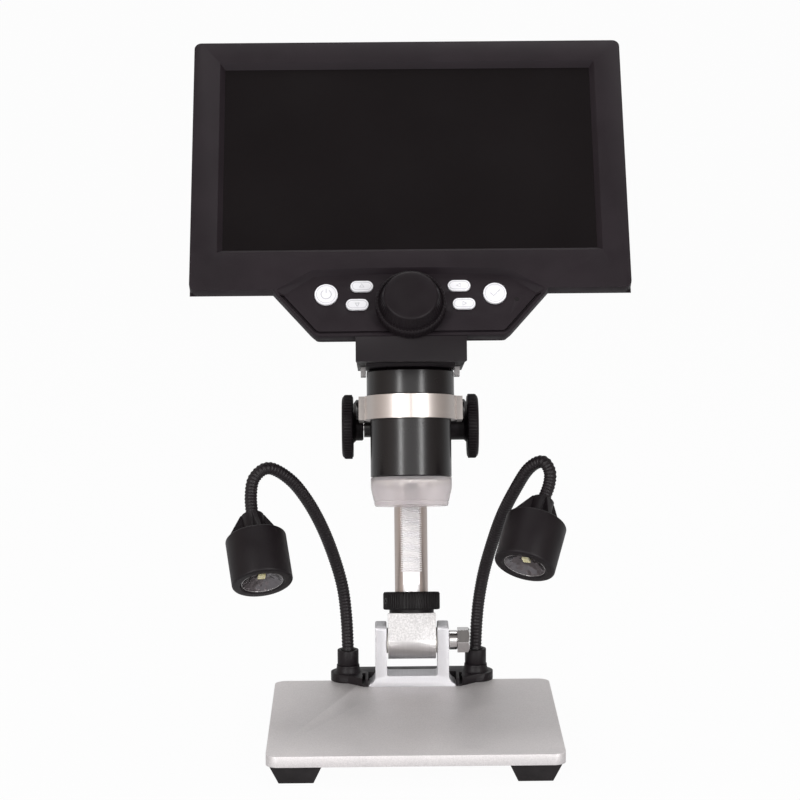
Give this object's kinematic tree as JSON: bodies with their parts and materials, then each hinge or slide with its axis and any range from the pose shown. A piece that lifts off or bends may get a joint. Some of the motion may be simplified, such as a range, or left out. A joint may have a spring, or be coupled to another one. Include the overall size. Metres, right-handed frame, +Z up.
{
  "type": "digital microscope with screen",
  "caption": "Desktop digital microscope: flat stage, tilting rack column, focus carriage, lens barrel, tilted display head with control panel, and two gooseneck lamps.",
  "frame": {"origin": "centre of the stage plate, on the plane that its feet rest on", "axes": "+X to the user's right, +Y away from the user, +Z up out of the stage"},
  "size_m": [0.1826, 0.1582, 0.2901],
  "materials": {
    "stage_metal": "satin blasted",
    "bracket_metal": "satin anodised",
    "clamp_metal": "brushed",
    "column_steel": "bright turned",
    "screw_steel": "bright",
    "black_metal": "satin black",
    "block_metal": "sand blasted",
    "washer_plastic": "plain",
    "black_rubber": "matt",
    "head_plastic": "satin moulded",
    "black_plastic": "satin moulded",
    "button_plastic": "metallic painted",
    "shroud_plastic": "frosted",
    "screen_glass": "glossy black",
    "lens_glass": "coated",
    "brass": "turned",
    "board": "solder mask",
    "battery_wrap": "wrapped",
    "reflector_metal": "mirror",
    "led_phosphor": "phosphor",
    "light_guide": "clear",
    "gooseneck_skin": "ribbed matt"
  },
  "bodies": {
    "base": {"base_plate": "stage_metal", "foot_front_left": "black_rubber", "foot_front_right": "black_rubber", "foot_rear_left": "black_rubber", "foot_rear_right": "black_rubber", "foot_screws": "screw_steel", "bracket": "bracket_metal", "bracket_screws": "screw_steel", "pivot_bolt": "screw_steel", "bolt_spacer": "screw_steel", "friction_washers": "washer_plastic", "lamp_base": "black_plastic", "lamp_base_screws": "screw_steel", "lamp_sockets": "black_plastic"},
    "column": {"pivot_block": "block_metal", "column": "column_steel"},
    "collar": {"column_collar": "black_metal"},
    "carriage": {"carriage": "black_metal", "barrel_clamp": "clamp_metal", "clamp_screws": "black_metal", "pinion_bushes": "brass"},
    "focus_drive": {"pinion_shaft": "screw_steel", "focus_knob_left": "black_metal", "focus_knob_right": "black_metal"},
    "head": {"barrel": "black_metal", "shroud": "shroud_plastic", "led_board": "board", "ring_leds": "led_phosphor", "image_sensor_board": "board", "neck_housing": "head_plastic", "front_bezel": "head_plastic", "rear_housing": "head_plastic", "housing_screws": "screw_steel", "lcd_panel": "screen_glass", "main_board": "board", "battery_pack": "battery_wrap", "button_board": "board", "usb_socket": "screw_steel", "card_socket": "screw_steel", "status_light": "light_guide"},
    "lens": {"lens_carrier": "black_plastic", "objective_lenses": "lens_glass"},
    "zoom": {"zoom_shaft": "screw_steel", "zoom_wheel": "head_plastic"},
    "arm_left": {"arm_ferrule_left": "black_metal", "gooseneck_left": "gooseneck_skin"},
    "arm_right": {"arm_ferrule_right": "black_metal", "gooseneck_right": "gooseneck_skin"},
    "lamp_left": {"lamp_head_left": "black_metal", "lamp_reflector_left": "reflector_metal", "lamp_led_left": "led_phosphor"},
    "lamp_right": {"lamp_head_right": "black_metal", "lamp_reflector_right": "reflector_metal", "lamp_led_right": "led_phosphor"},
    "button_power": {"button_power": "button_plastic"},
    "button_confirm": {"button_confirm": "button_plastic"},
    "button_up": {"button_up": "button_plastic"},
    "button_down": {"button_down": "button_plastic"},
    "button_left": {"button_left": "button_plastic"},
    "button_right": {"button_right": "button_plastic"}
  },
  "joints": [
    {"name": "column_tilt", "type": "hinge", "parent": "base", "child": "column", "pos_m": [0, 0.053, 0.0318], "axis": [1, 0, 0], "range_deg": [-17, 25]},
    {"name": "collar_turn", "type": "hinge", "parent": "column", "child": "collar", "pos_m": [0, 0.053, 0.0318], "axis": [0, 0.225, 0.9744], "range_deg": [0, 90]},
    {"name": "focus_travel", "type": "slide", "parent": "column", "child": "carriage", "axis": [0, 0.225, 0.9744], "range_m": [-0.045, 0.068]},
    {"name": "focus_turn", "type": "hinge", "parent": "carriage", "child": "focus_drive", "pos_m": [0, 0.0637, 0.12457], "axis": [1, 0, 0], "range_deg": [-867, 574]},
    {"name": "head_turn", "type": "hinge", "parent": "carriage", "child": "head", "pos_m": [0, 0.01792, 0.0399], "axis": [0, 0.225, 0.9744], "range_deg": [-25, 25]},
    {"name": "zoom_turn", "type": "hinge", "parent": "head", "child": "zoom", "pos_m": [0, 0.00528, 0.18469], "axis": [0, -0.8231, 0.5678], "range_deg": [-60, 60]},
    {"name": "lens_travel", "type": "slide", "parent": "head", "child": "lens", "axis": [0, 0.225, 0.9744], "range_m": [-0.00398, 0.00398]},
    {"name": "arm_left_turn", "type": "hinge", "parent": "base", "child": "arm_left", "pos_m": [-0.028, 0.061, 0.026], "axis": [0, 0, 1], "range_deg": [-60, 8]},
    {"name": "arm_right_turn", "type": "hinge", "parent": "base", "child": "arm_right", "pos_m": [0.028, 0.061, 0.026], "axis": [0, 0, 1], "range_deg": [-8, 60]},
    {"name": "lamp_left_tilt", "type": "hinge", "parent": "arm_left", "child": "lamp_left", "pos_m": [-0.0667, 0.0113, 0.0951], "axis": [0.9703, 0.2419, 0], "range_deg": [-20, 20]},
    {"name": "lamp_right_tilt", "type": "hinge", "parent": "arm_right", "child": "lamp_right", "pos_m": [0.0539, 0.0033, 0.1021], "axis": [0.9063, -0.4226, 0], "range_deg": [-20, 20]},
    {"name": "button_power_press", "type": "slide", "parent": "head", "child": "button_power", "axis": [0, 0.8231, -0.5678], "range_m": [0, 0.0006], "stiffness_N_per_m": 1000, "springref_m": -0.0005},
    {"name": "button_confirm_press", "type": "slide", "parent": "head", "child": "button_confirm", "axis": [0, 0.8231, -0.5678], "range_m": [0, 0.0006], "stiffness_N_per_m": 1000, "springref_m": -0.0005},
    {"name": "button_up_press", "type": "slide", "parent": "head", "child": "button_up", "axis": [0, 0.8231, -0.5678], "range_m": [0, 0.0006], "stiffness_N_per_m": 1000, "springref_m": -0.0005},
    {"name": "button_down_press", "type": "slide", "parent": "head", "child": "button_down", "axis": [0, 0.8231, -0.5678], "range_m": [0, 0.0006], "stiffness_N_per_m": 1000, "springref_m": -0.0005},
    {"name": "button_left_press", "type": "slide", "parent": "head", "child": "button_left", "axis": [0, 0.8231, -0.5678], "range_m": [0, 0.0006], "stiffness_N_per_m": 1000, "springref_m": -0.0005},
    {"name": "button_right_press", "type": "slide", "parent": "head", "child": "button_right", "axis": [0, 0.8231, -0.5678], "range_m": [0, 0.0006], "stiffness_N_per_m": 1000, "springref_m": -0.0005}
  ],
  "couplings": [
    {"joint": "focus_turn", "follows": "focus_travel", "rad_per_m": -222.22},
    {"joint": "zoom_turn", "follows": "lens_travel", "rad_per_m": 263.16}
  ]
}
